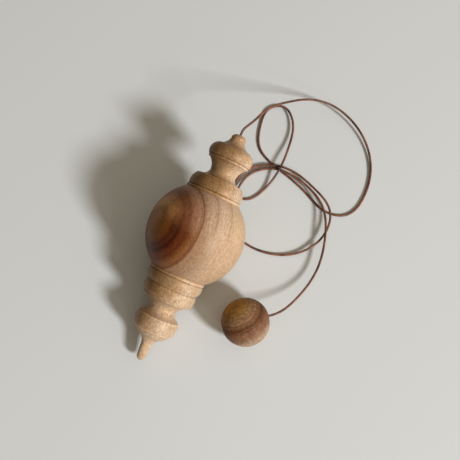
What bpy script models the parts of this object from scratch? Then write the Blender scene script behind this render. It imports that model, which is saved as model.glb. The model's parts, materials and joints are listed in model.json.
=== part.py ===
"""Turned wooden spindle on a leather cord.

A large ball carries a turned finial above it and another below it. A thin round leather cord leaves the
middle of the upper finial's dome, lies in loose loops, and ends in a small drilled ball. The spindle rests
on its ball and its lower finial, with its long axis in the XZ plane and the cord's exit at +X.

Every size below is in millimetres. MM turns it into Blender's metres.
"""
import math

import bmesh
import bpy
import numpy as np
from mathutils import Vector

MM = 0.001

# Ball
BALL_R = 30.0                # at its equator
BALL_HALF_LENGTH = 31.4      # pole to centre along the spindle's axis, before the seats are cut
SEAT_R = 17.5                # flat seat at each end, as wide as the finial's foot

# Joints between the pieces
GAP = 0.3                    # between faces that touch
TENON_R = 6.5
TENON_LENGTH = 13.5
TENON_CHAMFER = 0.7

# Cord and knots
CORD_R = 0.75
CORD_CLEARANCE = 0.5         # round the cord in each hole
KNOT_R = 2.0
KNOT_HEIGHT = 3.6
KNOT_CLEARANCE = 0.6         # round a knot in its pocket

# Foot and V groove that both finials start with
FOOT_HEIGHT = 1.4
GROOVE_DEPTH = 0.6
GROOVE_RISE = 0.35           # half the groove's width

# Upper finial, foot to top
FLANGE_R = 16.95
FLANGE_HEIGHT = 7.35
FLANGE_BOW = 1.2
FLANGE_TOP_R = 14.5
SHELF_R = 12.2
SHELF_HEIGHT = 1.0
UPPER_NECK_R = 8.25
UPPER_NECK_LOWER_RISE = 3.9
UPPER_NECK_UPPER_RISE = 7.2
UPPER_NECK_TOP_R = 11.9
UPPER_FILLET_R = 12.85
UPPER_FILLET_HEIGHT = 1.1
UPPER_BEAD_FOOT_R = 13.15
UPPER_BEAD_HEIGHT = 8.3
UPPER_BEAD_TOP_R = 10.7
UPPER_BEAD_BOW = 1.9
DOME_R = 4.7
DOME_SWEEP_HEIGHT = 5.4      # concave sweep from the bead up to the dome
DOME_SIDE_HEIGHT = 2.0
DOME_ROUND_HEIGHT = 1.2
DOME_FLAT_R = 3.0
DOME_CROWN_HEIGHT = 0.2
POCKET_TOP = 16.7            # ceiling of the knot's pocket above the foot

# Lower finial, foot to tip
RING_1_R = 17.3
RING_1_END_R = 16.0
RING_1_HEIGHT = 6.4
RING_1_BOW = 0.8
RING_STEP_RISE = 0.55        # half the wider groove between the two rings
RING_2_R = 16.2
RING_2_END_R = 15.4
RING_2_HEIGHT = 6.3
RING_2_BOW = 0.7
LOWER_FILLET_R = 15.1
LOWER_FILLET_HEIGHT = 0.9
LOWER_NECK_R = 8.5
LOWER_NECK_UPPER_RISE = 5.3
LOWER_NECK_LOWER_RISE = 4.8
LOWER_NECK_END_R = 11.9
LOWER_BEAD_EDGE_R = 12.8
LOWER_BEAD_EDGE_HEIGHT = 1.3
LOWER_BEAD_END_R = 12.6
LOWER_BEAD_HEIGHT = 7.5
LOWER_BEAD_BOW = 0.9
CONE_EDGE_R = 11.6
CONE_EDGE_HEIGHT = 1.8
CONE_END_R = 7.5
CONE_HEIGHT = 3.2
STEM_R = 3.3
STEM_SWEEP_HEIGHT = 6.3      # concave sweep from the cone down to the stem
STEM_HEIGHT = 6.5
TIP_R = 2.75
TIP_HEIGHT = 3.0

# End bead on the cord
BEAD_R = 14.75
BEAD_FLAT_CUT = 0.65         # depth that each drilled flat takes off the ball
BEAD_HOLE_CLEARANCE = 0.65   # round the cord
KNOT_SINK = 0.2              # knot below the rim of its counterbore
BEAD_PLACE = (-24.9, -48.9)
BEAD_TURN = -49.3            # degrees about Z of the mouth that the cord enters
BEAD_DIP = 2.0               # degrees that the mouth looks below the horizontal

# The cord's free run between its two ends
CORD_LEAD_OUT = 2.3          # straight out of the dome
CORD_LEAD_IN = 2.4           # straight into the end bead
CORD_ROUTE = (
    # out of the dome and down to the ground in one sweep
    (79.5, -2.6, 51.6), (92.4, -6.2, 48.6), (105.0, -10.1, 39.5), (117.7, -15.4, 27.5), (129.5, -23.3, 17.0),
    (137.0, -36.7, 9.0),
    # round the wide loop and back under everything
    (132.1, -59.1, 4.2), (113.6, -77.5, 1.6), (89.5, -83.5, 0.9), (70.5, -77.5, 0.8), (67.0, -64.0, 0.8),
    (72.5, -50.0, 0.8), (80.2, -29.0, 0.8), (90.5, -6.0, 0.8),
    # the small loop, over the other strands, and a tight turn beneath the finial
    (107.5, 0.8, 0.8), (120.2, 0.2, 1.4), (125.2, -7.7, 2.2), (118.6, -17.7, 2.6), (100.1, -23.7, 3.2),
    (82.0, -25.2, 4.9), (62.0, -20.8, 0.9), (52.0, -12.5, 0.8), (54.0, -4.5, 0.8), (65.5, -2.6, 0.8),
    # the outer strand, a low hump off the strands it crosses, and round beneath the ball
    (79.5, -15.3, 2.5), (83.2, -32.1, 3.2), (77.7, -50.5, 4.6), (66.9, -67.0, 5.2), (50.8, -70.0, 4.0),
    (33.6, -60.5, 2.0), (24.2, -40.0, 0.8), (28.0, -17.5, 0.8),
    # the inner strand, over the outer one, and off to the end bead
    (51.0, -6.3, 2.8), (71.0, -9.3, 1.3), (79.8, -22.0, 2.6), (79.4, -38.6, 3.4), (68.3, -60.9, 5.0),
    (48.7, -71.2, 6.4), (26.6, -75.0, 5.6), (2.1, -70.5, 9.2),
)
CORD_REST = CORD_R + 0.05    # lowest that the cord's centre line lies

# Fineness
TURN_STEPS = 32              # facets round a turned piece
ARC_STEP = 20.0              # degrees of a turned arc between two points
BALL_ARC_POINTS = 22
CORD_STEP = 11.5             # longest straight stretch of the cord
CORD_TURN = 21.0             # degrees that it may turn before its next point

# Worked out from the sizes above
SEAT_HEIGHT = BALL_HALF_LENGTH * math.sqrt(1.0 - (SEAT_R / BALL_R) ** 2)
SHOULDER = SEAT_HEIGHT + GAP
CORD_HOLE_R = CORD_R + CORD_CLEARANCE
POCKET_R = KNOT_R + KNOT_CLEARANCE
BEAD_FLAT = BEAD_R - BEAD_FLAT_CUT                     # centre to each flat
BEAD_HOLE_R = CORD_R + BEAD_HOLE_CLEARANCE
KNOT_SEAT = BEAD_FLAT - KNOT_SINK - KNOT_HEIGHT - GAP  # centre to the counterbore's floor

BEECH = ("beech", (0.66, 0.47, 0.28), 0.48)
HONEY_WOOD = ("honey_wood", (0.60, 0.39, 0.20), 0.42)
BROWN_WOOD = ("brown_wood", (0.42, 0.23, 0.12), 0.45)
LEATHER = ("red_brown_leather", (0.20, 0.085, 0.05), 0.55)


def clear_scene():
    for obj in list(bpy.data.objects):
        bpy.data.objects.remove(obj, do_unlink=True)


def wood_or_leather(spec):
    """A Principled material of one colour, made once and shared."""
    name, colour, roughness = spec
    material = bpy.data.materials.get(name)
    if material:
        return material
    material = bpy.data.materials.new(name)
    material.use_nodes = True
    shader = material.node_tree.nodes["Principled BSDF"]
    shader.inputs["Base Color"].default_value = (*colour, 1.0)
    shader.inputs["Roughness"].default_value = roughness
    shader.inputs["Metallic"].default_value = 0.0
    return material


def arc(start, end, bow):
    """Points after start, up to end, on the arc that stands out from their chord by bow.

    A point is (radius, distance along the axis). A negative bow is a cove.
    """
    if bow == 0:
        return [end]
    chord = math.dist(start, end)
    along = ((end[0] - start[0]) / chord, (end[1] - start[1]) / chord)
    outward = (along[1], -along[0])
    half_angle = 2.0 * math.atan(2.0 * abs(bow) / chord)
    arc_r = chord / (2.0 * math.sin(half_angle))
    count = max(2, math.ceil(2.0 * half_angle / math.radians(ARC_STEP)))
    points = []
    for i in range(1, count + 1):
        angle = half_angle * (2.0 * i / count - 1.0)
        run = chord / 2.0 + arc_r * math.sin(angle)
        rise = math.copysign(arc_r * (math.cos(angle) - math.cos(half_angle)), bow)
        points.append((start[0] + run * along[0] + rise * outward[0],
                       start[1] + run * along[1] + rise * outward[1]))
    return points


def turned_outline(stations):
    """Points (radius, distance from the foot) through stations of radius, rise and bow."""
    radius, distance, _ = stations[0]
    points = [(radius, distance)]
    for radius, rise, bow in stations[1:]:
        distance += rise
        points += arc(points[-1], (radius, distance), bow)
    return points


def upper_outline():
    """Outside of the upper finial, from its foot up to the rim of the cord's hole."""
    return turned_outline((
        (SEAT_R, 0.0, 0.0),
        (SEAT_R, FOOT_HEIGHT, 0.0),
        (FLANGE_R - GROOVE_DEPTH, GROOVE_RISE, 0.0),
        (FLANGE_R, GROOVE_RISE, 0.0),
        (FLANGE_TOP_R, FLANGE_HEIGHT, FLANGE_BOW),
        (SHELF_R, SHELF_HEIGHT, 0.0),
        (UPPER_NECK_R, UPPER_NECK_LOWER_RISE, -0.85),
        (UPPER_NECK_TOP_R, UPPER_NECK_UPPER_RISE, -0.9),
        (UPPER_FILLET_R - 0.1, 0.3, 0.0),
        (UPPER_FILLET_R + 0.1, UPPER_FILLET_HEIGHT - 0.1, 0.0),
        (UPPER_FILLET_R - 0.35, 0.2, 0.0),
        (UPPER_BEAD_FOOT_R, 0.2, 0.0),
        (UPPER_BEAD_TOP_R, UPPER_BEAD_HEIGHT, UPPER_BEAD_BOW),
        (DOME_R, DOME_SWEEP_HEIGHT, -1.3),
        (DOME_R - 0.3, DOME_SIDE_HEIGHT, 0.0),
        (DOME_FLAT_R, DOME_ROUND_HEIGHT, 0.45),
        (CORD_HOLE_R, DOME_CROWN_HEIGHT, 0.0),
    ))


def lower_outline():
    """Outside of the lower finial, from its foot down to its tip."""
    return turned_outline((
        (SEAT_R, 0.0, 0.0),
        (SEAT_R, FOOT_HEIGHT, 0.0),
        (RING_1_R - GROOVE_DEPTH, GROOVE_RISE, 0.0),
        (RING_1_R, GROOVE_RISE, 0.0),
        (RING_1_END_R, RING_1_HEIGHT, RING_1_BOW),
        (RING_2_R - GROOVE_DEPTH, RING_STEP_RISE, 0.0),
        (RING_2_R, RING_STEP_RISE, 0.0),
        (RING_2_END_R, RING_2_HEIGHT, RING_2_BOW),
        (LOWER_FILLET_R - 0.2, 0.25, 0.0),
        (LOWER_FILLET_R, 0.25, 0.0),
        (LOWER_FILLET_R - 0.3, LOWER_FILLET_HEIGHT, 0.0),
        (LOWER_NECK_R, LOWER_NECK_UPPER_RISE, -1.15),
        (LOWER_NECK_END_R, LOWER_NECK_LOWER_RISE, -0.85),
        (LOWER_BEAD_EDGE_R, LOWER_BEAD_EDGE_HEIGHT, 0.0),
        (LOWER_BEAD_END_R, LOWER_BEAD_HEIGHT, LOWER_BEAD_BOW),
        (CONE_EDGE_R, CONE_EDGE_HEIGHT, 0.0),
        (CONE_END_R, CONE_HEIGHT, 0.35),
        (STEM_R, STEM_SWEEP_HEIGHT, -1.15),
        (TIP_R, STEM_HEIGHT, 0.0),
        (0.0, TIP_HEIGHT, 0.75),
    ))


def ball_outline():
    """Profile of the ball, a ring round its through bore: down its outside, then up the bore."""
    seat_angle = math.acos(SEAT_R / BALL_R)
    outside = []
    for i in range(BALL_ARC_POINTS + 1):
        angle = seat_angle * (1.0 - 2.0 * i / BALL_ARC_POINTS)
        outside.append((BALL_R * math.cos(angle), BALL_HALF_LENGTH * math.sin(angle)))
    bore_r = TENON_R + GAP
    return outside + [(bore_r, -SEAT_HEIGHT), (bore_r, SEAT_HEIGHT)]


def upper_finial_outline():
    """The outside, top to foot, then the tenon, and the knot's pocket and cord hole up the middle."""
    outside = [(r, SHOULDER + h) for r, h in reversed(upper_outline())]
    tenon_end = SHOULDER - TENON_LENGTH
    ceiling = SHOULDER + POCKET_TOP
    return outside + [
        (TENON_R, SHOULDER),
        (TENON_R, tenon_end + TENON_CHAMFER),
        (TENON_R - TENON_CHAMFER, tenon_end),
        (POCKET_R, tenon_end),
        (POCKET_R, ceiling),
        (CORD_HOLE_R, ceiling),
    ]


def lower_finial_outline():
    """The tenon from its end down, then the outside from the foot to the tip."""
    tenon_end = -SHOULDER + TENON_LENGTH
    return [
        (0.0, tenon_end),
        (TENON_R - TENON_CHAMFER, tenon_end),
        (TENON_R, tenon_end - TENON_CHAMFER),
        (TENON_R, -SHOULDER),
    ] + [(r, -SHOULDER - h) for r, h in lower_outline()]


def bead_outline():
    """Profile of the end bead, with the cord's mouth at its top and the knot's counterbore below."""
    flat_angle = math.asin(BEAD_FLAT / BEAD_R)
    count = BALL_ARC_POINTS - 4
    outside = []
    for i in range(count + 1):
        angle = flat_angle * (1.0 - 2.0 * i / count)
        outside.append((BEAD_R * math.cos(angle), BEAD_R * math.sin(angle)))
    return outside + [
        (POCKET_R, -BEAD_FLAT),
        (POCKET_R, -KNOT_SEAT),
        (BEAD_HOLE_R, -KNOT_SEAT),
        (BEAD_HOLE_R, BEAD_FLAT),
    ]


def reach_down(outline, tilt):
    """How far a turned outline reaches below its origin with its axis raised by tilt."""
    return max(r * math.cos(tilt) - z * math.sin(tilt) for r, z in outline)


def rest_tilt(ball, lower):
    """Tilt at which the ball and the lower finial both touch the ground, by halving."""
    low = 0.0
    high = math.radians(60.0)
    for _ in range(50):
        middle = (low + high) / 2.0
        if reach_down(lower, middle) > reach_down(ball, middle):
            high = middle
        else:
            low = middle
    return (low + high) / 2.0


def centre_along_x(outlines, tilt):
    """X of the ball's centre that puts the spindle's box centre at X = 0."""
    points = [point for outline in outlines for point in outline]
    front = max(z * math.cos(tilt) + r * math.sin(tilt) for r, z in points)
    back = min(z * math.cos(tilt) - r * math.sin(tilt) for r, z in points)
    return -(front + back) / 2.0


def add_object(collection, name, data, spec):
    obj = bpy.data.objects.new(name, data)
    collection.objects.link(obj)
    data.materials.append(wood_or_leather(spec))
    return obj


def turned_piece(collection, name, outline, spec):
    """A lathe-turned solid about its own Z: the outline swept by a Screw modifier."""
    mesh = bpy.data.meshes.new(name)
    vertices = [(r * MM, 0.0, z * MM) for r, z in outline]
    edges = [(i, i + 1) for i in range(len(vertices) - 1)]
    if outline[0][0] > 0.0:
        edges.append((len(vertices) - 1, 0))
    mesh.from_pydata(vertices, edges, [])
    obj = add_object(collection, name, mesh, spec)
    screw = obj.modifiers.new("turn", "SCREW")
    screw.axis = "Z"
    screw.angle = math.tau
    screw.steps = TURN_STEPS
    screw.render_steps = TURN_STEPS
    screw.use_merge_vertices = True
    screw.merge_threshold = 0.00001
    screw.use_smooth_shade = True
    return obj


def knot(collection, name, centre, direction, spec):
    """A stopper knot, as a plain rounded solid with its length along the cord."""
    mesh = bpy.data.meshes.new(name)
    shape = bmesh.new()
    bmesh.ops.create_uvsphere(shape, u_segments=12, v_segments=8, radius=KNOT_R * MM)
    bmesh.ops.scale(shape, vec=(1.0, 1.0, KNOT_HEIGHT / (2.0 * KNOT_R)), verts=shape.verts)
    shape.to_mesh(mesh)
    shape.free()
    mesh.shade_smooth()
    obj = add_object(collection, name, mesh, spec)
    obj.location = centre * MM
    obj.rotation_mode = "QUATERNION"
    obj.rotation_quaternion = direction.to_track_quat("Z", "Y")
    return obj


def smooth_route(points, start_way, end_way, samples=40):
    """Dense points on the cubic spline through points, with its end directions given."""
    points = np.array([tuple(p) for p in points], float)
    span = np.linalg.norm(np.diff(points, axis=0), axis=1)
    slope = np.diff(points, axis=0) / span[:, None]
    count = len(points)
    matrix = np.zeros((count, count))
    right = np.zeros((count, 3))
    matrix[0, :2] = 2.0 * span[0], span[0]
    right[0] = 6.0 * (slope[0] - np.array(start_way))
    matrix[-1, -2:] = span[-1], 2.0 * span[-1]
    right[-1] = 6.0 * (np.array(end_way) - slope[-1])
    for i in range(1, count - 1):
        matrix[i, i - 1:i + 2] = span[i - 1], 2.0 * (span[i - 1] + span[i]), span[i]
        right[i] = 6.0 * (slope[i] - slope[i - 1])
    bend = np.linalg.solve(matrix, right)
    dense = []
    for i in range(count - 1):
        for b in np.arange(samples) / samples:
            a = 1.0 - b
            curve = ((a ** 3 - a) * bend[i] + (b ** 3 - b) * bend[i + 1]) * span[i] ** 2 / 6.0
            dense.append(a * points[i] + b * points[i + 1] + curve)
    dense.append(points[-1])
    dense = np.array(dense)
    dense[:, 2] = np.maximum(dense[:, 2], CORD_REST)
    return dense


def thinned(dense):
    """Fewer points: one each time the route has run CORD_STEP or turned CORD_TURN."""
    kept = [dense[0]]
    steps = np.diff(dense, axis=0)
    ways = steps / np.linalg.norm(steps, axis=1)[:, None]
    run = 0.0
    turn = 0.0
    for i in range(1, len(steps)):
        run += float(np.linalg.norm(steps[i - 1]))
        turn += math.acos(min(1.0, float(np.dot(ways[i - 1], ways[i]))))
        if run >= CORD_STEP or turn >= math.radians(CORD_TURN):
            kept.append(dense[i])
            run = 0.0
            turn = 0.0
    kept.append(dense[-1])
    return kept


def cord_tube(collection, points, spec):
    """The cord as a round tube along points."""
    curve = bpy.data.curves.new("cord", "CURVE")
    curve.dimensions = "3D"
    curve.bevel_depth = CORD_R * MM
    curve.bevel_resolution = 2
    curve.use_fill_caps = True
    spline = curve.splines.new("POLY")
    spline.points.add(len(points) - 1)
    for slot, point in zip(spline.points, points):
        slot.co = (*(float(value) * MM for value in point), 1.0)
        slot.radius = 1.0
    return add_object(collection, "cord", curve, spec)


def build():
    clear_scene()
    parts = bpy.data.collections.new("turned_spindle")
    bpy.context.scene.collection.children.link(parts)

    outlines = {
        "ball": ball_outline(),
        "upper_finial": upper_finial_outline(),
        "lower_finial": lower_finial_outline(),
    }
    finishes = {"ball": HONEY_WOOD, "upper_finial": BEECH, "lower_finial": BEECH}
    tilt = rest_tilt(outlines["ball"], outlines["lower_finial"])
    axis = Vector((math.cos(tilt), 0.0, math.sin(tilt)))
    centre = Vector((
        centre_along_x(outlines.values(), tilt),
        0.0,
        reach_down(outlines["ball"], tilt),
    ))

    spindle = bpy.data.objects.new("spindle_axis", None)
    parts.objects.link(spindle)
    spindle.location = centre * MM
    spindle.rotation_euler = (0.0, math.pi / 2.0 - tilt, 0.0)
    for name, outline in outlines.items():
        piece = turned_piece(parts, name, outline, finishes[name])
        piece.parent = spindle

    turn = math.radians(BEAD_TURN)
    dip = math.radians(BEAD_DIP)
    mouth = Vector((math.cos(turn) * math.cos(dip), math.sin(turn) * math.cos(dip), -math.sin(dip)))
    bead_centre = Vector((*BEAD_PLACE, BEAD_R))
    bead = turned_piece(parts, "end_bead", bead_outline(), BROWN_WOOD)
    bead.location = bead_centre * MM
    bead.rotation_mode = "QUATERNION"
    bead.rotation_quaternion = mouth.to_track_quat("Z", "Y")

    pocket_ceiling = SHOULDER + POCKET_TOP
    knot_depth = GAP + KNOT_HEIGHT / 2.0
    knot(parts, "cord_knot_top", centre + axis * (pocket_ceiling - knot_depth), axis, LEATHER)
    knot(parts, "cord_knot_bead", bead_centre - mouth * (KNOT_SEAT + knot_depth), mouth, LEATHER)

    top = SHOULDER + upper_outline()[-1][1]
    lead_out = centre + axis * (top + CORD_LEAD_OUT)
    lead_in = bead_centre + mouth * (BEAD_FLAT + CORD_LEAD_IN)
    free_run = smooth_route([lead_out, *CORD_ROUTE, lead_in], axis, -mouth)
    cord_start = centre + axis * pocket_ceiling
    cord_end = bead_centre - mouth * KNOT_SEAT
    cord_tube(parts, [cord_start, *thinned(free_run), cord_end], LEATHER)


build()
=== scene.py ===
# Turned wooden spindle on a leather cord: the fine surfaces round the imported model.
# A ball carries a finial above and below it. A thin round cord leaves the upper finial's dome, lies in
# loose loops and ends in a small drilled bead.
import json
import math

import bpy
import numpy as np
from mathutils import Matrix, Vector


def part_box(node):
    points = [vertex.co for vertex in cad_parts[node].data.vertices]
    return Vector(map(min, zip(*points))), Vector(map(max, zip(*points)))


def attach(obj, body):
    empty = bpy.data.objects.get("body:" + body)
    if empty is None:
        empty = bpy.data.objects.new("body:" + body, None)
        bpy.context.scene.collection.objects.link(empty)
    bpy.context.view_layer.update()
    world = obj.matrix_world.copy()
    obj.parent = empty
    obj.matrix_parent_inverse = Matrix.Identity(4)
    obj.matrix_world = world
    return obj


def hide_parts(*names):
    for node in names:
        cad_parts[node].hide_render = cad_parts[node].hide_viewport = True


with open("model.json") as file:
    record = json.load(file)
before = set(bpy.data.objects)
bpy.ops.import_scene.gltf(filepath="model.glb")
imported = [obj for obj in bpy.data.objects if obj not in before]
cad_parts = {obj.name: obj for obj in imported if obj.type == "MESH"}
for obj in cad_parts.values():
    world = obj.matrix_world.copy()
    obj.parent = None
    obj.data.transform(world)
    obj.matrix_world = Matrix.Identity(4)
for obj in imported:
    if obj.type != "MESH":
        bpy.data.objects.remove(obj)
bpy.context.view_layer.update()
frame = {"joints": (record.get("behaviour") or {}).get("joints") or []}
joints = {joint["name"]: joint for joint in frame["joints"]}
mm = 0.001

# where things are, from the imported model
exitPoint = Vector(joints["spindle_swivel"]["pos_m"])
spindleAxis = Vector(joints["spindle_swivel"]["axis"]).normalized()
beadCentre = Vector(joints["bead_swivel"]["pos_m"])
beadMouth = Vector(joints["bead_swivel"]["axis"]).normalized()
ballLow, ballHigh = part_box("ball")
ballCentre = (ballLow + ballHigh) / 2


camera = {
    "lens": 53.2,
    "sensor": 36.0,
    "nearest": 0.01,
    "farthest": 20.0,
    "place": (-0.1001, -0.0745, 0.4212),
    "heading": 25.5,      # degrees about Z that the top of the picture points to
    "lookDown": 71.3,     # degrees below the horizon
}


def addCamera():
    data = bpy.data.cameras.new("camera")
    data.lens = camera["lens"]
    data.sensor_width = camera["sensor"]
    data.clip_start = camera["nearest"]
    data.clip_end = camera["farthest"]
    view = bpy.data.objects.new("camera", data)
    bpy.context.scene.collection.objects.link(view)
    heading = math.radians(camera["heading"])
    down = math.radians(camera["lookDown"])
    ahead = Vector((math.cos(heading), math.sin(heading), 0.0))
    overhead = Vector((0.0, 0.0, 1.0))
    forward = ahead * math.cos(down) - overhead * math.sin(down)
    up = ahead * math.sin(down) + overhead * math.cos(down)
    right = forward.cross(up)
    turn = Matrix((right, up, -forward)).transposed()
    view.rotation_mode = "QUATERNION"
    view.rotation_quaternion = turn.to_quaternion()
    view.location = camera["place"]
    bpy.context.scene.camera = view


def deselectAll():
    if bpy.context.mode != "OBJECT":
        bpy.ops.object.mode_set(mode="OBJECT")
    bpy.ops.object.select_all(action="DESELECT")


# the cord, in metres
cord = {
    "diameter": 1.5 * mm,
    "leadOut": 2.3 * mm,          # straight out of the dome
    "leadIn": 2.4 * mm,           # straight into the bead
    "rest": 0.8 * mm,             # lowest that its centre line lies
    "knotDepth": 23.7 * mm,       # from the exit in to the cord's end inside the upper finial
    "spacing": 1.0 * mm,
    "curveSteps": 40,             # points worked out along each stretch of the route
    "bevelResolution": 4,
    # part.py's route, in metres
    "route": (
        # out of the dome and down to the ground in one sweep
        (0.0795, -0.0026, 0.0516), (0.0924, -0.0062, 0.0486), (0.1050, -0.0101, 0.0395),
        (0.1177, -0.0154, 0.0275), (0.1295, -0.0233, 0.0170), (0.1370, -0.0367, 0.0090),
        # round the wide loop and back under everything
        (0.1321, -0.0591, 0.0042), (0.1136, -0.0775, 0.0016), (0.0895, -0.0835, 0.0009),
        (0.0705, -0.0775, 0.0008), (0.0670, -0.0640, 0.0008), (0.0725, -0.0500, 0.0008),
        (0.0802, -0.0290, 0.0008), (0.0905, -0.0060, 0.0008),
        # the small loop, over the other strands, and a tight turn beneath the finial
        (0.1075, 0.0008, 0.0008), (0.1202, 0.0002, 0.0014), (0.1252, -0.0077, 0.0022),
        (0.1186, -0.0177, 0.0026), (0.1001, -0.0237, 0.0032), (0.0820, -0.0252, 0.0049),
        (0.0620, -0.0208, 0.0009), (0.0520, -0.0125, 0.0008), (0.0540, -0.0045, 0.0008),
        (0.0655, -0.0026, 0.0008),
        # the outer strand, a low hump off the strands it crosses, and round beneath the ball
        (0.0795, -0.0153, 0.0025), (0.0832, -0.0321, 0.0032), (0.0777, -0.0505, 0.0046),
        (0.0669, -0.0670, 0.0052), (0.0508, -0.0700, 0.0040), (0.0336, -0.0605, 0.0020),
        (0.0242, -0.0400, 0.0008), (0.0280, -0.0175, 0.0008),
        # the inner strand, over the outer one, and off to the end bead
        (0.0510, -0.0063, 0.0028), (0.0710, -0.0093, 0.0013), (0.0798, -0.0220, 0.0026),
        (0.0794, -0.0386, 0.0034), (0.0683, -0.0609, 0.0050), (0.0487, -0.0712, 0.0064),
        (0.0266, -0.0750, 0.0056), (0.0021, -0.0705, 0.0092),
    ),
}


def smoothRoute(points, startWay, endWay):
    # cubic spline through the points with its end directions given, kept off the ground
    points = np.array([tuple(p) for p in points], float)
    span = np.linalg.norm(np.diff(points, axis=0), axis=1)
    slope = np.diff(points, axis=0) / span[:, None]
    count = len(points)
    matrix = np.zeros((count, count))
    right = np.zeros((count, 3))
    matrix[0, :2] = 2 * span[0], span[0]
    right[0] = 6 * (slope[0] - np.array(startWay))
    matrix[-1, -2:] = span[-1], 2 * span[-1]
    right[-1] = 6 * (np.array(endWay) - slope[-1])
    for i in range(1, count - 1):
        matrix[i, i - 1:i + 2] = span[i - 1], 2 * (span[i - 1] + span[i]), span[i]
        right[i] = 6 * (slope[i] - slope[i - 1])
    bend = np.linalg.solve(matrix, right)
    dense = []
    for i in range(count - 1):
        for b in np.arange(cord["curveSteps"]) / cord["curveSteps"]:
            a = 1 - b
            curve = ((a ** 3 - a) * bend[i] + (b ** 3 - b) * bend[i + 1]) * span[i] ** 2 / 6
            dense.append(a * points[i] + b * points[i + 1] + curve)
    dense.append(points[-1])
    dense = np.array(dense)
    dense[:, 2] = np.maximum(dense[:, 2], cord["rest"])
    return dense


def evenly(line, spacing):
    # the same line with its points the given distance apart
    step = np.linalg.norm(np.diff(line, axis=0), axis=1)
    run = np.concatenate([[0.0], np.cumsum(step)])
    marks = np.linspace(0.0, run[-1], max(2, round(run[-1] / spacing)) + 1)
    return np.stack([np.interp(marks, run, line[:, k]) for k in range(3)], axis=1)


def cordLine():
    free = smoothRoute(
        [exitPoint + spindleAxis * cord["leadOut"], *cord["route"],
         beadCentre + beadMouth * (endBead["flat"] * mm + cord["leadIn"])],
        spindleAxis, -beadMouth)
    start = exitPoint - spindleAxis * cord["knotDepth"]
    end = beadCentre - beadMouth * (endBead["knotSeat"] * mm)
    return evenly(np.vstack([start, free, end]), cord["spacing"])


def tubeAlong(name, line):
    curve = bpy.data.curves.new(name, "CURVE")
    curve.dimensions = "3D"
    curve.bevel_depth = cord["diameter"] / 2
    curve.bevel_resolution = cord["bevelResolution"]
    curve.use_fill_caps = True
    spline = curve.splines.new("POLY")
    spline.points.add(len(line) - 1)
    spline.points.foreach_set("co", np.hstack([line, np.ones((len(line), 1))]).ravel())
    piece = bpy.data.objects.new(name, curve)
    bpy.context.scene.collection.objects.link(piece)
    return piece


# how every turned piece is spun
lathe = {
    "steps": 160,
    "arcStep": 6.0,          # degrees turned between two points of an outline's arc
    "weld": 0.002 * mm,      # points closer than this become one
    "edge": 0.12 * mm,       # width of the soft edges
    "edgeAngle": 24.0,       # degrees at which an edge is softened
    "smoothAngle": 32.0,     # degrees under which faces shade as one
}


def arc(start, end, bow):
    # points of the arc that bows out (or in, if negative) by bow, without its start
    if bow == 0:
        return [end]
    chord = math.dist(start, end)
    along = ((end[0] - start[0]) / chord, (end[1] - start[1]) / chord)
    outward = (along[1], -along[0])
    halfAngle = 2 * math.atan(2 * abs(bow) / chord)
    arcRadius = chord / (2 * math.sin(halfAngle))
    count = max(2, math.ceil(2 * halfAngle / math.radians(lathe["arcStep"])))
    points = []
    for i in range(1, count + 1):
        angle = halfAngle * (2 * i / count - 1)
        run = chord / 2 + arcRadius * math.sin(angle)
        rise = math.copysign(arcRadius * (math.cos(angle) - math.cos(halfAngle)), bow)
        points.append((start[0] + run * along[0] + rise * outward[0],
                       start[1] + run * along[1] + rise * outward[1]))
    return points


def outlineThrough(stations):
    # stations are radius, rise above the last one, and the bow of the arc that leads there, in mm
    radius, distance, _ = stations[0]
    points = [(radius, distance)]
    for radius, rise, bow in stations[1:]:
        distance += rise
        points += arc(points[-1], (radius, distance), bow)
    return points


def turnPiece(name, outline, centre, axis):
    # a lathe-turned piece: its half outline in the XZ plane, spun about Z, then laid along its axis
    deselectAll()
    bpy.ops.mesh.primitive_plane_add(size=mm, location=(0, 0, 0))
    piece = bpy.context.active_object
    piece.name = name
    piece.data.name = name
    bpy.ops.object.mode_set(mode="EDIT")
    bpy.ops.mesh.select_all(action="SELECT")
    bpy.ops.mesh.merge(type="CENTER")
    bpy.ops.mesh.select_mode(type="VERT")
    radius, height = outline[0]
    bpy.ops.mesh.select_all(action="SELECT")
    bpy.ops.transform.translate(value=(radius * mm, 0, height * mm))
    for last, point in zip(outline, outline[1:]):
        step = ((point[0] - last[0]) * mm, 0, (point[1] - last[1]) * mm)
        bpy.ops.mesh.extrude_region_move(TRANSFORM_OT_translate={"value": step})
    closed = outline[0][0] > 0
    bpy.ops.object.mode_set(mode="OBJECT")
    if closed:
        for vertex in piece.data.vertices:
            vertex.select = vertex.index in (0, len(outline) - 1)
        bpy.ops.object.mode_set(mode="EDIT")
        bpy.ops.mesh.edge_face_add()
        bpy.ops.object.mode_set(mode="OBJECT")
    bpy.ops.object.mode_set(mode="EDIT")
    bpy.ops.mesh.select_all(action="SELECT")
    bpy.ops.mesh.spin(steps=lathe["steps"], angle=math.tau, center=(0, 0, 0), axis=(0, 0, 1))
    bpy.ops.mesh.select_all(action="SELECT")
    bpy.ops.mesh.remove_doubles(threshold=lathe["weld"])
    bpy.ops.mesh.normals_make_consistent(inside=False)
    bpy.ops.object.mode_set(mode="OBJECT")
    bevel = piece.modifiers.new("softEdges", "BEVEL")
    bevel.width = lathe["edge"]
    bevel.segments = 2
    bevel.limit_method = "ANGLE"
    bevel.angle_limit = math.radians(lathe["edgeAngle"])
    bpy.ops.object.modifier_apply(modifier="softEdges")
    piece.rotation_mode = "QUATERNION"
    piece.rotation_quaternion = axis.to_track_quat("Z", "Y")
    piece.location = centre
    bpy.ops.object.transform_apply(location=True, rotation=True, scale=True)
    bpy.ops.object.shade_smooth_by_angle(angle=math.radians(lathe["smoothAngle"]))
    print("turned", name, len(piece.data.polygons), "faces")
    return piece


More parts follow.
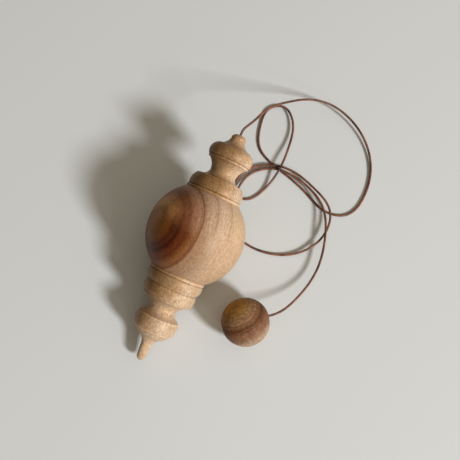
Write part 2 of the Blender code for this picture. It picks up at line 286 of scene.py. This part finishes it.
def roundOver(radius, height, fromAngle, toAngle, count):
    # points of an ellipse with these half sizes, between two angles above its equator
    points = []
    for i in range(count + 1):
        angle = fromAngle + (toAngle - fromAngle) * i / count
        points.append((radius * math.cos(angle), height * math.sin(angle)))
    return points


# the turned pieces, in mm
joint = {
    "fit": 0.05,             # between the ball's seats and the finials' shoulders
    "footGap": 0.3,          # ball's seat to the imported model's foot
    "tenonRadius": 6.5,
    "tenonLength": 13.5,
    "tenonChamfer": 0.7,
    "boreRadius": 6.8,
}

ball = {"radius": 30.0, "halfLength": 31.4, "seatRadius": 17.5, "arcPoints": 96}
ball["seatHeight"] = ball["halfLength"] * math.sqrt(1 - (ball["seatRadius"] / ball["radius"]) ** 2)


def makeBall():
    seatAngle = math.acos(ball["seatRadius"] / ball["radius"])
    outline = roundOver(ball["radius"], ball["halfLength"], seatAngle, -seatAngle, ball["arcPoints"])
    outline += [(joint["boreRadius"], -ball["seatHeight"]), (joint["boreRadius"], ball["seatHeight"])]
    return turnPiece("ball_turned", outline, ballCentre, spindleAxis)


upperFinial = {
    "holeRadius": 1.25,
    "pocketRadius": 2.6,
    "pocketTop": 16.7,           # ceiling of the knot's pocket above the foot
    # radius, rise and bow of each turned member, from the foot up
    "stations": (
        (17.5, 0.0, 0), (17.5, 1.4, 0),                       # foot
        (16.35, 0.35, 0), (16.95, 0.35, 0),                   # V groove
        (14.8, 7.9, 0.95), (14.4, 0.15, 0),                   # flange and its sharp upper edge
        (12.2, 0.3, 0),                                       # shelf
        (8.25, 3.9, -0.85), (11.9, 7.2, -0.9),                # neck
        (12.75, 0.3, 0), (12.95, 1.0, 0),                     # fillet
        (12.5, 0.2, 0), (13.15, 0.2, 0),                      # fine groove
        (10.7, 8.3, 1.9),                                     # bead
        (4.6, 5.4, -1.3), (4.65, 0.6, 0),                     # sweep and side of the dome
        (3.8, 1.5, 0.35), (1.7, 1.1, 0.4), (1.25, 0.2, 0),    # dome and the hole's rim
    ),
    # height in mm, half width and brightness of each painted line: painted highlights on edges above 1,
    # painted shade in grooves below 1
    "lines": ((1.0, 0.45, 1.22), (1.75, 0.35, 0.82), (9.95, 0.55, 1.42),
              (22.4, 0.5, 1.25), (23.15, 0.3, 0.72)),
}

lowerFinial = {
    # radius, rise and bow of each turned member, from the foot down
    "stations": (
        (17.5, 0.0, 0), (17.5, 1.4, 0),                       # foot
        (16.7, 0.35, 0), (17.3, 0.35, 0),                     # V groove
        (16.0, 6.4, 0.8),                                     # first ring
        (15.6, 0.55, 0), (16.2, 0.55, 0),                     # step
        (15.4, 6.3, 0.7),                                     # second ring
        (14.9, 0.25, 0), (15.1, 0.25, 0), (14.8, 0.9, 0),     # fine groove and fillet
        (8.5, 5.3, -1.15), (11.9, 4.8, -0.85),                # neck
        (12.3, 0.5, 0), (13.0, 0.6, 0),                       # edge
        (12.5, 8.4, 0.75), (12.1, 0.3, 0),                    # bead and its lower edge
        (10.8, 1.2, 0), (7.5, 2.8, 0.3),                      # cone
        (3.3, 6.3, -1.15), (2.75, 6.5, 0), (0.0, 3.0, 0.75),  # stem and tip
    ),
    "lines": ((1.0, 0.45, 1.25), (1.75, 0.35, 0.82), (8.9, 0.4, 0.8), (9.9, 0.4, 1.2),
              (15.8, 0.4, 1.22), (16.3, 0.3, 0.82), (27.95, 0.35, 0.82),
              (28.55, 0.45, 1.38), (37.0, 0.55, 1.35)),
}


def makeUpperFinial():
    shoulder = ball["seatHeight"] + joint["fit"]
    lift = joint["footGap"] - joint["fit"]
    outside = outlineThrough(upperFinial["stations"])
    points = [(r, shoulder + h + (lift if h > 0 else 0)) for r, h in reversed(outside)]
    tenonEnd = shoulder - joint["tenonLength"]
    ceiling = shoulder + upperFinial["pocketTop"] + lift
    points += [
        (joint["tenonRadius"], shoulder),
        (joint["tenonRadius"], tenonEnd + joint["tenonChamfer"]),
        (joint["tenonRadius"] - joint["tenonChamfer"], tenonEnd),
        (upperFinial["pocketRadius"], tenonEnd),
        (upperFinial["pocketRadius"], ceiling),
        (upperFinial["holeRadius"], ceiling),
    ]
    return turnPiece("upper_finial_turned", points, ballCentre, spindleAxis)


def makeLowerFinial():
    shoulder = -ball["seatHeight"] - joint["fit"]
    lift = joint["footGap"] - joint["fit"]
    tenonEnd = shoulder + joint["tenonLength"]
    points = [
        (0.0, tenonEnd),
        (joint["tenonRadius"] - joint["tenonChamfer"], tenonEnd),
        (joint["tenonRadius"], tenonEnd - joint["tenonChamfer"]),
        (joint["tenonRadius"], shoulder),
    ]
    outside = outlineThrough(lowerFinial["stations"])
    points += [(r, shoulder - h - (lift if h > 0 else 0)) for r, h in outside]
    return turnPiece("lower_finial_turned", points, ballCentre, spindleAxis)


endBead = {
    "radius": 14.75,
    "flat": 14.1,            # centre to the drilled flats
    "holeRadius": 1.4,
    "holeChamfer": 0.25,
    "pocketRadius": 2.6,
    "knotSeat": 10.0,        # centre to the floor of the knot's counterbore
    "arcPoints": 72,
}


def makeEndBead():
    flatAngle = math.asin(endBead["flat"] / endBead["radius"])
    chamfer = endBead["holeChamfer"]
    points = roundOver(endBead["radius"], endBead["radius"], flatAngle, -flatAngle, endBead["arcPoints"])
    points += [
        (endBead["pocketRadius"] + chamfer, -endBead["flat"]),
        (endBead["pocketRadius"], -endBead["flat"] + chamfer),
        (endBead["pocketRadius"], -endBead["knotSeat"]),
        (endBead["holeRadius"], -endBead["knotSeat"]),
        (endBead["holeRadius"], endBead["flat"] - chamfer),
        (endBead["holeRadius"] + chamfer, endBead["flat"]),
    ]
    return turnPiece("end_bead_turned", points, beadCentre, beadMouth)


# the knots on the cord's ends, in metres
knot = {
    "across": 0.55 * mm,
    "rise": 0.55 * mm,
    "height": 3.6 * mm,
    "gap": 0.3 * mm,         # between the cord's end and the knot
    "points": 60,
    "firstTurn": 0.04,       # part of the closed knot where its own line starts
    "turns": 0.92,           # and how much of it the line follows
}


def makeKnot(name, top, way):
    # an overhand knot pulled tight: three crossings round the cord's own line, below the point top
    side = way.orthogonal().normalized()
    other = way.cross(side)
    middle = top - way * knot["height"] / 2
    line = []
    for i in range(knot["points"] + 1):
        t = math.tau * (knot["firstTurn"] + knot["turns"] * i / knot["points"])
        x = (math.sin(t) + 2 * math.sin(2 * t)) * knot["across"]
        y = (math.cos(t) - 2 * math.cos(2 * t)) * knot["across"]
        z = -math.sin(3 * t) * knot["rise"]
        line.append(middle + side * x + other * y + way * z)
    return tubeAlong(name, np.array([tuple(p) for p in line]))


def plain(name, colour, roughness):
    material = bpy.data.materials.new(name)
    material.use_nodes = True
    shader = material.node_tree.nodes["Principled BSDF"]
    shader.inputs["Base Color"].default_value = (*colour, 1)
    shader.inputs["Roughness"].default_value = roughness
    return material


def put(tree, kind, settings=None, **inputs):
    # one node, whose inputs are values or other nodes' sockets, by name or as in0, in1, ...
    node = tree.nodes.new("ShaderNode" + kind)
    for setting, value in (settings or {}).items():
        setattr(node, setting, value)
    for name, value in inputs.items():
        socket = node.inputs[int(name[2:])] if name[2:].isdigit() else node.inputs[name]
        if isinstance(value, bpy.types.NodeSocket):
            tree.links.new(value, socket)
        else:
            socket.default_value = value
    return node


def reckon(tree, operation, first, second=0.0):
    return put(tree, "Math", {"operation": operation}, in0=first, in1=second).outputs[0]


def times(tree, first, second):
    return reckon(tree, "MULTIPLY", first, second)


def between(tree, value, low, high, toLow=0.0, toHigh=1.0):
    return put(tree, "MapRange", {"interpolation_type": "SMOOTHSTEP"}, in0=value, in1=low, in2=high,
               in3=toLow, in4=toHigh).outputs[0]


def stretched(tree, coords, scale):
    return put(tree, "Mapping", {"vector_type": "POINT"}, Vector=coords, Scale=scale).outputs[0]


def clouds(tree, coords, scale, detail=4.0, roughness=0.6):
    noise = put(tree, "TexNoise", Vector=coords, Scale=scale, Detail=detail, Roughness=roughness)
    return noise.outputs["Fac"]


def tint(tree, blend, factor, first, second):
    settings = {"data_type": "RGBA", "blend_type": blend}
    return put(tree, "Mix", settings, in0=factor, in6=first, in7=second).outputs[2]


def bandRamp(tree, height, bands):
    # growth rings, and on the finials and in the ball's heart also painted shade, as colours at heights
    # in mm across the layers
    low, high = bands[0][0], bands[-1][0]
    share = put(tree, "MapRange", in0=height, in1=low, in2=high).outputs[0]
    ramp = put(tree, "ValToRGB", Fac=share)
    stops = ramp.color_ramp.elements
    for i, (at, colour) in enumerate(bands):
        if i == 0:
            stop = stops[0]
        elif i == len(bands) - 1:
            stop = stops[len(stops) - 1]
        else:
            stop = stops.new((at - low) / (high - low))
        stop.position = (at - low) / (high - low)
        stop.color = (*colour, 1)
    return ramp.outputs["Color"]


def woodSpace(tree, centre, fibre, layers):
    # coordinates in mm in a block of wood: X along its fibres, Z across its growth rings
    across = (layers - fibre * layers.dot(fibre)).normalized()
    turn = Matrix((fibre, across.cross(fibre), across)).transposed()
    return put(tree, "Mapping", {"vector_type": "TEXTURE"},
               Vector=put(tree, "TexCoord").outputs["Object"], Location=centre,
               Rotation=turn.to_euler(), Scale=(mm, mm, mm)).outputs[0]


# what all the woods share; a stretch is a scale along and across the fibres, so a small one is long
grain = {
    "waveStretch": (0.35, 1, 1),
    "fibreStretch": (0.05, 1, 1),
    "poreStretch": (0.3, 1, 1),
    "fleckStretch": (0.6, 0.8, 1),
    "patchStretch": (0.5, 1, 1),
    "heartShadeDriftScale": 0.07,      # the wandering edge of the heart and its painted shade, and how many mm it wanders
    "heartShadeDrift": 10.0,
    "yearDriftScale": 0.12,       # uneven spacing of the year lines, and its size in radians
    "yearDrift": 9.0,
    "yearEdge": 0.25,             # height of the lines' sine wave where they begin
    "middling": (0.3, 0.7),       # the part of a noise that counts, from none to all
    "poreRange": (0.58, 0.72),
    "patchRange": (0.45, 0.7),
    "lineCore": 0.4,              # part of a painted line's half width that has its full tone
    "roughSpread": 0.07,
    "poreRelief": -0.6,
    "fibreRelief": 0.7,
    "bumpDepth": 0.06 * mm,
    "sheenTint": (1.0, 0.84, 0.66, 1),
}


def ringColour(tree, look, coords, along, depth):
    # broad growth rings, with painted shade in the finials' deeper bands, which turn along the fibres to
    # the heart's colours, darkened further as painted shade on the ball's shaded side
    colour = bandRamp(tree, depth, look["bands"])
    if "heartAndShadeBands" in look:
        drift = times(tree, clouds(tree, coords, grain["heartShadeDriftScale"], 2.0), grain["heartShadeDrift"])
        place = reckon(tree, "ADD", along, drift)
        heartAndShade = between(tree, place, look["heartShadeFrom"], look["heartShadeTo"])
        colour = tint(tree, "MIX", heartAndShade, colour, bandRamp(tree, depth, look["heartAndShadeBands"]))
    spots = stretched(tree, coords, grain["patchStretch"])
    patches = between(tree, clouds(tree, spots, look["patchScale"], 3.0), *grain["patchRange"])
    stained = tint(tree, "MULTIPLY", 1.0, colour, (*look["patchTint"], 1))
    return tint(tree, "MIX", times(tree, patches, look["patchAmount"]), colour, stained)


def yearLines(tree, look, coords, depth):
    # thin darker lines between the broad rings
    drift = times(tree, clouds(tree, coords, grain["yearDriftScale"], 2.0), grain["yearDrift"])
    turns = reckon(tree, "ADD", times(tree, depth, math.tau / look["yearWidth"]), drift)
    return between(tree, reckon(tree, "SINE", turns), grain["yearEdge"], 1.0, 1.0, 1 - look["yearDepth"])


def eitherSide(tree, noise, spread):
    # a noise as a brightness round 1
    return between(tree, noise, *grain["middling"], 1 - spread, 1 + spread)


def wood(name, look, centre, fibre, lines=()):
    material = plain(name, (0.5, 0.4, 0.3), look["roughness"])
    tree = material.node_tree
    shader = tree.nodes["Principled BSDF"]
    shader.inputs["Specular IOR Level"].default_value = look["gloss"]
    shader.inputs["Specular Tint"].default_value = grain["sheenTint"]
    coords = woodSpace(tree, centre, fibre, Vector(look["layers"]))
    parts = put(tree, "SeparateXYZ", Vector=coords)
    along, depth = parts.outputs["X"], parts.outputs["Z"]

    # the rings are a little wavy and may lean along the piece
    waves = clouds(tree, stretched(tree, coords, grain["waveStretch"]), look["waveScale"], 2.0)
    waves = reckon(tree, "SUBTRACT", waves, 0.5)
    depth = reckon(tree, "ADD", depth, times(tree, waves, look["waveHeight"]))
    depth = reckon(tree, "ADD", depth, times(tree, along, look["lean"]))
    colour = ringColour(tree, look, coords, along, depth)

    # year lines, long fibres, short pores and pale flecks
    fibres = clouds(tree, stretched(tree, coords, grain["fibreStretch"]), look["fibreScale"], 5.0, 0.7)
    pores = clouds(tree, stretched(tree, coords, grain["poreStretch"]), look["poreScale"], 2.0, 0.5)
    flecks = clouds(tree, stretched(tree, coords, grain["fleckStretch"]), look["fleckScale"], 3.0, 0.6)
    shade = yearLines(tree, look, coords, depth)
    shade = times(tree, shade, eitherSide(tree, fibres, look["fibreDepth"]))
    shade = times(tree, shade, between(tree, pores, *grain["poreRange"], 1.0, 1 - look["poreDepth"]))
    shade = times(tree, shade, eitherSide(tree, flecks, look["fleckDepth"]))

    # painted highlights on edges and painted shade in grooves, by their place along the axis in mm
    for at, halfWidth, brightness in lines:
        off = reckon(tree, "ABSOLUTE", reckon(tree, "SUBTRACT", along, at))
        core = halfWidth * grain["lineCore"]
        shade = times(tree, shade, between(tree, off, core, halfWidth, brightness, 1.0))
    grey = put(tree, "CombineXYZ", X=shade, Y=shade, Z=shade).outputs[0]
    tree.links.new(tint(tree, "MULTIPLY", 1.0, colour, grey), shader.inputs["Base Color"])

    # wax sheen, uneven with the flecks, over fine turning marks, pores and fibres
    smoothest = look["roughness"] - grain["roughSpread"]
    roughest = look["roughness"] + grain["roughSpread"]
    rough = between(tree, flecks, *grain["middling"], smoothest, roughest)
    tree.links.new(rough, shader.inputs["Roughness"])
    marks = reckon(tree, "SINE", times(tree, along, math.tau / look["toolPitch"]))
    relief = times(tree, marks, look["toolRelief"])
    relief = reckon(tree, "ADD", relief, times(tree, pores, grain["poreRelief"]))
    relief = reckon(tree, "ADD", relief, times(tree, fibres, grain["fibreRelief"]))
    bump = put(tree, "Bump", Strength=look["bump"], Distance=grain["bumpDepth"], Height=relief)
    tree.links.new(bump.outputs[0], shader.inputs["Normal"])
    return material


# each wood: layers points across its growth rings, bands are heights along that direction in mm with
# their colours, yearWidth, waveHeight and toolPitch are in mm, and each depth is how strongly it shows
ballWood = {
    "layers": (-0.142, 0.691, 0.709),
    "roughness": 0.43, "gloss": 0.25, "lean": 0.0,
    "waveScale": 0.045, "waveHeight": 3.0,
    "bands": (
        (-32, (0.52, 0.35, 0.20)), (-20, (0.50, 0.33, 0.19)), (-9, (0.55, 0.37, 0.22)),
        (-3, (0.54, 0.36, 0.22)), (-1.5, (0.44, 0.28, 0.17)), (0.4, (0.52, 0.35, 0.22)),
        (5.5, (0.55, 0.38, 0.25)), (8.2, (0.46, 0.30, 0.19)), (8.9, (0.34, 0.21, 0.125)),
        (9.7, (0.46, 0.30, 0.19)), (12.5, (0.46, 0.30, 0.19)), (14.6, (0.39, 0.24, 0.145)),
        (15.7, (0.33, 0.19, 0.11)), (16.3, (0.15, 0.068, 0.034)), (16.8, (0.30, 0.155, 0.09)),
        (18.4, (0.34, 0.18, 0.10)), (20.4, (0.31, 0.145, 0.078)), (22.0, (0.205, 0.082, 0.037)),
        (24.2, (0.21, 0.078, 0.030)), (25.4, (0.31, 0.125, 0.045)), (27.0, (0.46, 0.225, 0.085)),
        (28.2, (0.48, 0.24, 0.08)), (29.0, (0.31, 0.145, 0.046)), (29.4, (0.46, 0.24, 0.08)),
        (30.5, (0.50, 0.29, 0.10)),
    ),
    # the heart's dark crescent, darkened further as painted shade towards the ball's lower, shaded side
    "heartAndShadeBands": (
        (-32, (0.50, 0.33, 0.18)), (0, (0.48, 0.31, 0.19)), (5.5, (0.42, 0.27, 0.165)),
        (9, (0.36, 0.22, 0.13)), (13.5, (0.33, 0.185, 0.10)), (15.4, (0.34, 0.19, 0.105)),
        (16.4, (0.16, 0.055, 0.020)), (17.6, (0.24, 0.095, 0.035)), (19.6, (0.20, 0.068, 0.018)),
        (21.2, (0.115, 0.026, 0.006)), (22.6, (0.13, 0.030, 0.007)), (23.8, (0.10, 0.020, 0.005)),
        (24.6, (0.045, 0.006, 0.003)), (25.4, (0.095, 0.021, 0.006)), (26.4, (0.085, 0.020, 0.006)),
        (27.2, (0.18, 0.050, 0.009)), (28.4, (0.22, 0.075, 0.014)), (29.2, (0.24, 0.095, 0.018)),
        (30.5, (0.33, 0.155, 0.034)),
    ),
    "heartShadeFrom": 15.5, "heartShadeTo": 3.0,
    "yearWidth": 2.3, "yearDepth": 0.10,
    "fibreScale": 1.3, "fibreDepth": 0.09,
    "poreScale": 1.9, "poreDepth": 0.34,
    "fleckScale": 0.95, "fleckDepth": 0.17,
    "patchScale": 0.06, "patchAmount": 0.5, "patchTint": (1.0, 0.93, 0.98),
    "toolPitch": 0.55, "toolRelief": 0.10, "bump": 0.35,
}

beadWood = {
    "layers": (0.290, 0.637, 0.714),
    "roughness": 0.56, "gloss": 0.12, "lean": 0.0,
    "waveScale": 0.10, "waveHeight": 2.2,
    "bands": (
        (-15, (0.40, 0.26, 0.165)), (-6, (0.365, 0.24, 0.155)), (-3.5, (0.28, 0.168, 0.103)),
        (-1, (0.20, 0.103, 0.058)), (1.5, (0.195, 0.088, 0.046)), (3.2, (0.18, 0.083, 0.040)),
        (4.0, (0.122, 0.050, 0.022)), (4.8, (0.16, 0.067, 0.030)), (5.6, (0.097, 0.033, 0.012)),
        (6.6, (0.13, 0.055, 0.022)), (7.6, (0.20, 0.097, 0.047)), (8.5, (0.17, 0.080, 0.036)),
        (9.4, (0.295, 0.16, 0.082)), (10.3, (0.23, 0.12, 0.056)), (11.2, (0.29, 0.16, 0.070)),
        (12.2, (0.285, 0.155, 0.055)), (13.2, (0.355, 0.185, 0.051)), (15, (0.38, 0.19, 0.043)),
    ),
    "yearWidth": 1.15, "yearDepth": 0.14,
    "fibreScale": 1.7, "fibreDepth": 0.16,
    "poreScale": 1.4, "poreDepth": 0.42,
    "fleckScale": 0.75, "fleckDepth": 0.26,
    "patchScale": 0.10, "patchAmount": 0.35, "patchTint": (1.0, 0.86, 0.80),
    "toolPitch": 0.55, "toolRelief": 0.10, "bump": 0.35,
}

finialWood = {
    # the finials' layers point up and towards +Y, away from the window, so their deeper bands, from
    # about 6 mm, are painted shade on the shaded side as well as growth rings
    "layers": (-0.24, 0.60, 0.76),
    "roughness": 0.42, "gloss": 0.32, "lean": 0.07,
    "waveScale": 0.06, "waveHeight": 3.2,
    "bands": (
        (-19, (0.50, 0.345, 0.215)), (-11, (0.55, 0.39, 0.25)), (-5, (0.51, 0.355, 0.225)),
        (-1, (0.57, 0.40, 0.26)), (3.0, (0.49, 0.34, 0.22)), (6.5, (0.46, 0.30, 0.18)),
        (9.0, (0.38, 0.24, 0.13)), (12.5, (0.29, 0.165, 0.075)), (20, (0.22, 0.11, 0.040)),
    ),
    "yearWidth": 2.9, "yearDepth": 0.11,
    "fibreScale": 1.4, "fibreDepth": 0.10,
    "poreScale": 1.9, "poreDepth": 0.26,
    "fleckScale": 1.05, "fleckDepth": 0.21,
    "patchScale": 0.09, "patchAmount": 0.7, "patchTint": (0.94, 0.80, 0.62),
    "toolPitch": 0.6, "toolRelief": 0.16, "bump": 0.4,
}


leatherLook = {
    "roughness": (0.42, 0.58),
    "gloss": 0.45,
    "stainScale": 260.0,          # small stains, long stretches and fine grain
    "stretchScale": 45.0,
    "grainScale": 2200.0,
    "dark": (0.060, 0.018, 0.011, 1),
    "light": (0.285, 0.115, 0.062, 1),
    "toneRange": (0.38, 0.62),
    "hollow": (0.72, 0.72, 0.72, 1),
    "worn": (1.15, 1.12, 1.10, 1),
    "wornRange": (0.35, 0.7),
    "bump": 0.5,
    "bumpDepth": 0.05 * mm,
}


def twoTone(tree, value, span, first, second):
    ramp = put(tree, "ValToRGB", Fac=value)
    for stop, position, colour in zip(ramp.color_ramp.elements, span, (first, second)):
        stop.position = position
        stop.color = colour
    return ramp.outputs["Color"]


def leatherMaterial():
    look = leatherLook
    material = plain("roundLeather", (0.2, 0.085, 0.05), 0.5)
    tree = material.node_tree
    shader = tree.nodes["Principled BSDF"]
    shader.inputs["Specular IOR Level"].default_value = look["gloss"]
    coords = put(tree, "TexCoord").outputs["Object"]
    stains = times(tree, clouds(tree, coords, look["stainScale"], 4.0), 0.5)
    stretches = times(tree, clouds(tree, coords, look["stretchScale"], 2.0), 0.5)
    mottle = reckon(tree, "ADD", stains, stretches)
    fine = clouds(tree, coords, look["grainScale"], 3.0, 0.7)
    colour = twoTone(tree, mottle, look["toneRange"], look["dark"], look["light"])
    wear = twoTone(tree, fine, look["wornRange"], look["hollow"], look["worn"])
    tree.links.new(tint(tree, "MULTIPLY", 1.0, colour, wear), shader.inputs["Base Color"])
    rough = between(tree, mottle, *grain["middling"], *look["roughness"])
    tree.links.new(rough, shader.inputs["Roughness"])
    bump = put(tree, "Bump", Strength=look["bump"], Distance=look["bumpDepth"], Height=fine)
    tree.links.new(bump.outputs[0], shader.inputs["Normal"])
    return material


def dress(piece, material):
    piece.data.materials.clear()
    piece.data.materials.append(material)


# floor, light and surroundings
stage = {
    "floorSize": 3.0,
    "floorColour": (0.650, 0.668, 0.668),
    "floorRoughness": 0.75,
    "worldColour": (0.80, 0.70, 0.55),
    "worldLow": 0.05,         # how bright the room is at the horizon
    "worldHigh": 0.56,        # and overhead
    "worldLean": 0.8,         # how much brighter than this it is at -Y, and how much darker at +Y
    "keyBearing": -105.5,     # degrees about Z, towards the window
    "keyHeight": 34.5,        # degrees above the floor
    "keyDistance": 3.2,
    "keyWide": 0.55,
    "keyTall": 0.62,
    "keyPower": 105.0,
    "keyColour": (0.97, 0.98, 1.0),
    "sideBearing": -124.0,
    "sideHeight": 28.0,
    "sideWide": 0.25,
    "sidePower": 5.5,
}


def addLamp(name, bearing, height, wide, tall, power):
    bearing = math.radians(bearing)
    height = math.radians(height)
    level = math.cos(height)
    toLamp = Vector((math.cos(bearing) * level, math.sin(bearing) * level, math.sin(height)))
    light = bpy.data.lights.new(name, "AREA")
    light.shape = "ELLIPSE"
    light.size = wide
    light.size_y = tall
    light.energy = power
    light.color = stage["keyColour"]
    lamp = bpy.data.objects.new(name, light)
    bpy.context.scene.collection.objects.link(lamp)
    lamp.location = toLamp * stage["keyDistance"]
    lamp.rotation_mode = "QUATERNION"
    lamp.rotation_quaternion = (-toLamp).to_track_quat("-Z", "Y")


def addWorld():
    # a room brighter overhead and on the window's side, -Y, than on the other
    world = bpy.data.worlds.new("room")
    bpy.context.scene.world = world
    world.use_nodes = True
    tree = world.node_tree
    background = tree.nodes["Background"]
    background.inputs["Color"].default_value = (*stage["worldColour"], 1)
    way = put(tree, "SeparateXYZ", Vector=put(tree, "TexCoord").outputs["Generated"])
    overhead = between(tree, way.outputs["Z"], 0.0, 1.0, stage["worldLow"], stage["worldHigh"])
    windowSide, farSide = 1 + stage["worldLean"], 1 - stage["worldLean"]
    sideways = between(tree, way.outputs["Y"], -1.0, 1.0, windowSide, farSide)
    tree.links.new(times(tree, overhead, sideways), background.inputs["Strength"])


def addStage():
    deselectAll()
    bpy.ops.mesh.primitive_plane_add(size=stage["floorSize"], location=(0, 0, 0))
    floor = bpy.context.active_object
    floor.name = "floor"
    dress(floor, plain("paleFloor", stage["floorColour"], stage["floorRoughness"]))
    addWorld()
    addLamp("window", stage["keyBearing"], stage["keyHeight"], stage["keyWide"], stage["keyTall"],
            stage["keyPower"])
    addLamp("sideWindow", stage["sideBearing"], stage["sideHeight"], stage["sideWide"],
            stage["sideWide"], stage["sidePower"])
    print("stage set")


# the making: camera and cord first, then the knots, the turned pieces and the stage
addCamera()
leather = leatherMaterial()
line = cordLine()
cordPiece = tubeAlong("leather_cord", line)
dress(cordPiece, leather)
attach(cordPiece, "cord")
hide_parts("cord")

topKnotPlace = exitPoint - spindleAxis * (cord["knotDepth"] + knot["gap"])
topKnot = makeKnot("top_knot", topKnotPlace, spindleAxis)
beadKnotPlace = beadCentre - beadMouth * (endBead["knotSeat"] * mm + knot["gap"])
beadKnot = makeKnot("bead_knot", beadKnotPlace, beadMouth)
for piece, node in ((topKnot, "cord_knot_top"), (beadKnot, "cord_knot_bead")):
    dress(piece, leather)
    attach(piece, "cord")
    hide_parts(node)

beadLayers = Vector(beadWood["layers"])
beadFibre = (beadMouth - beadLayers * beadMouth.dot(beadLayers)).normalized()
honeyWood = wood("honeyWood", ballWood, ballCentre, spindleAxis)
foot = ball["seatHeight"] + joint["footGap"]
# painted highlights on the finials' edges and painted shade in their grooves, measured from each foot
finialShadeAndHighlightLines = [(foot + at, width, light) for at, width, light in upperFinial["lines"]]
finialShadeAndHighlightLines += [(-foot - at, width, light) for at, width, light in lowerFinial["lines"]]
paleWood = wood("paleWood", finialWood, ballCentre, spindleAxis, finialShadeAndHighlightLines)
brownWood = wood("brownWood", beadWood, beadCentre, beadFibre)

for make, node, body, slot, material in (
    (makeBall, "ball", "spindle", "honey_wood", honeyWood),
    (makeUpperFinial, "upper_finial", "spindle", "beech", paleWood),
    (makeLowerFinial, "lower_finial", "spindle", "beech", paleWood),
    (makeEndBead, "end_bead", "bead", "brown_wood", brownWood),
):
    piece = make()
    dress(piece, material)
    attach(piece, body)
    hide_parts(node)

addStage()
bpy.context.scene.view_settings.view_transform = "Standard"
